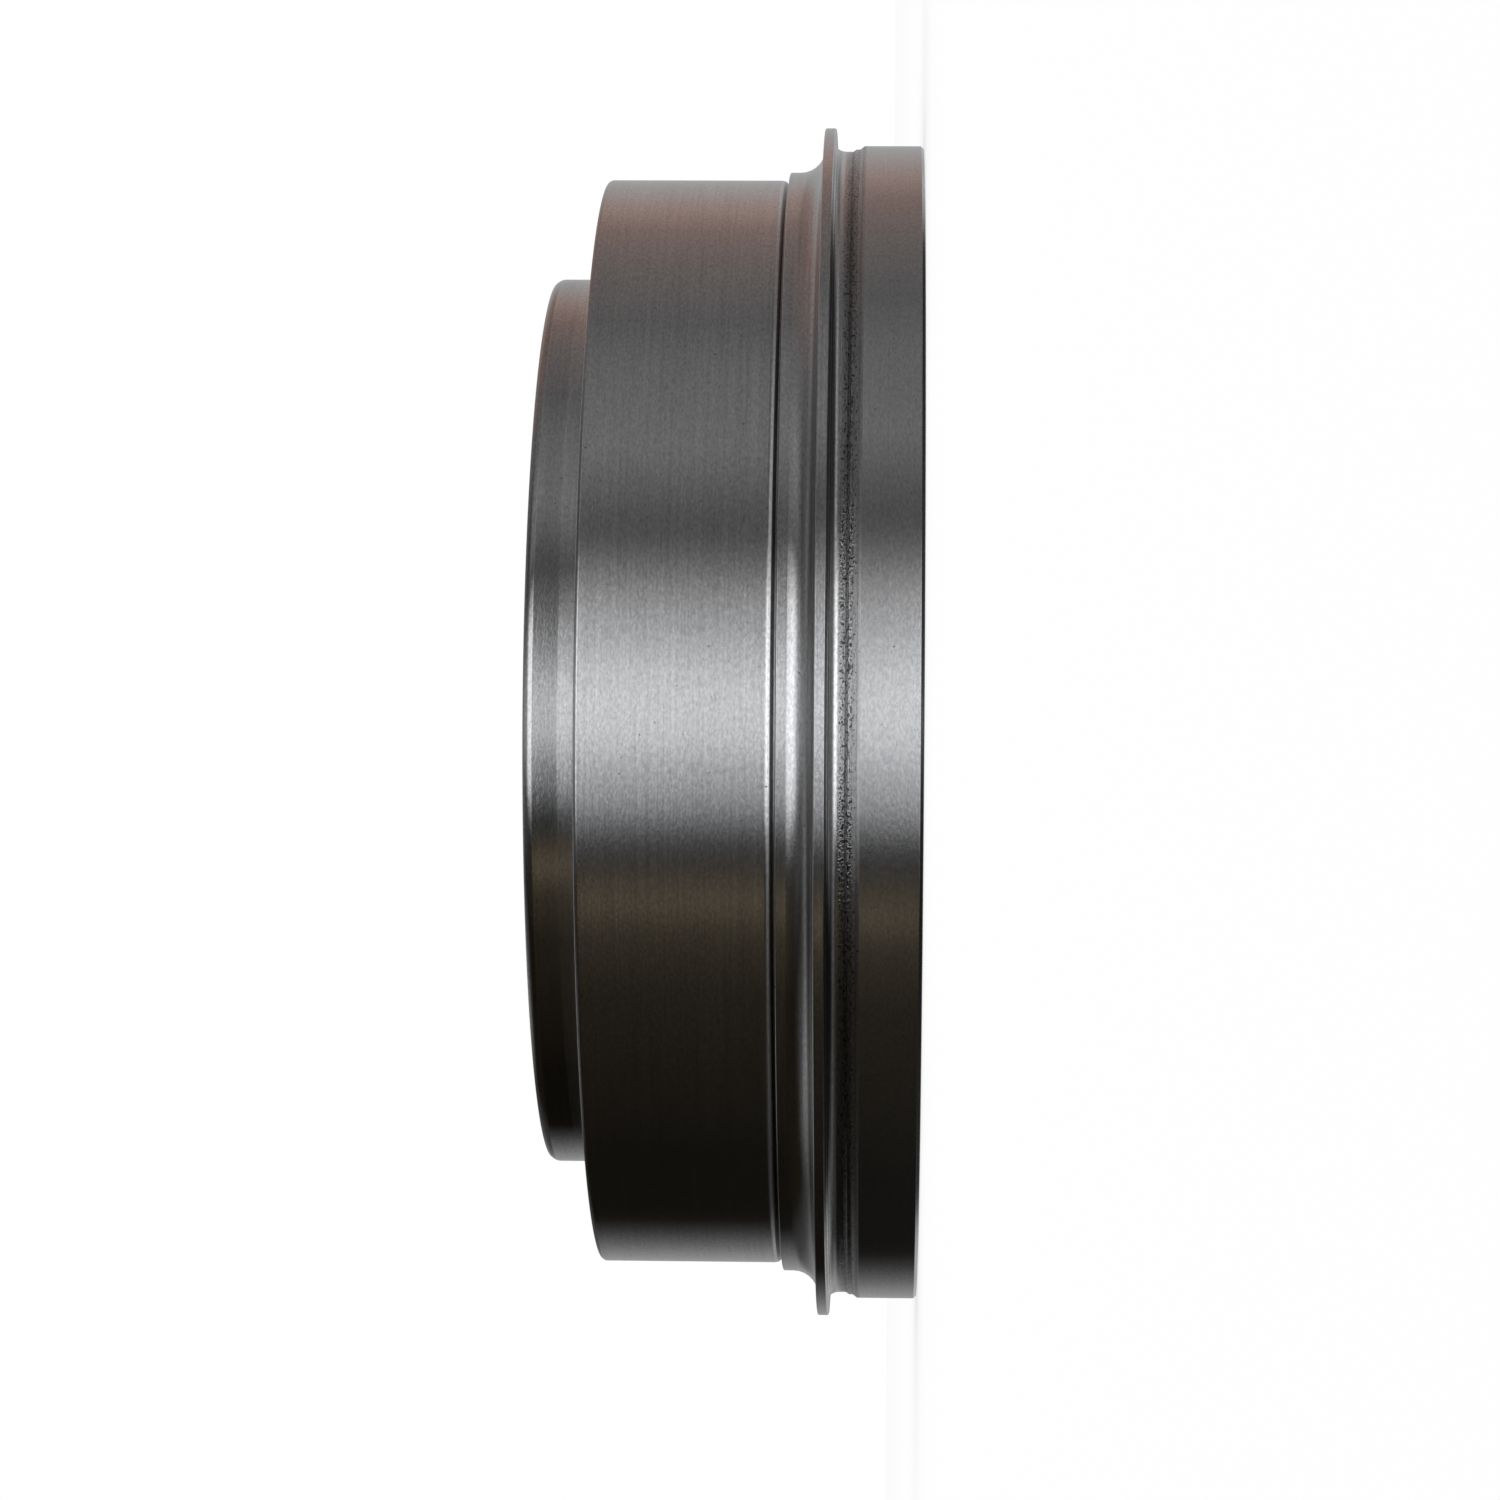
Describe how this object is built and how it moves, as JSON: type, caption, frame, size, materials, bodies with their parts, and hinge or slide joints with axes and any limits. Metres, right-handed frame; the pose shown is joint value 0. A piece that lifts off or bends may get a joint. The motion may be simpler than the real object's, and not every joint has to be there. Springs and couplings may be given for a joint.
{
  "type": "brake drum",
  "caption": "Cast-iron brake drum with a stepped hub face, a turned body, a thin water-thrower fin round the open end, a centre bore, wheel-stud holes and tapped puller holes.",
  "frame": {"origin": "centre of the open rim's end face, which the drum stands on", "axes": "+Z along the wheel's axis, from the open rim towards the wheel face; +X through one puller hole"},
  "size_m": [0.212, 0.212, 0.065],
  "materials": {
    "cast_iron": "fine-turned bare grey iron outside, bored friction surface, plain cast surfaces inside"
  },
  "bodies": {
    "root": {"brake_drum": "cast_iron"}
  },
  "joints": []
}
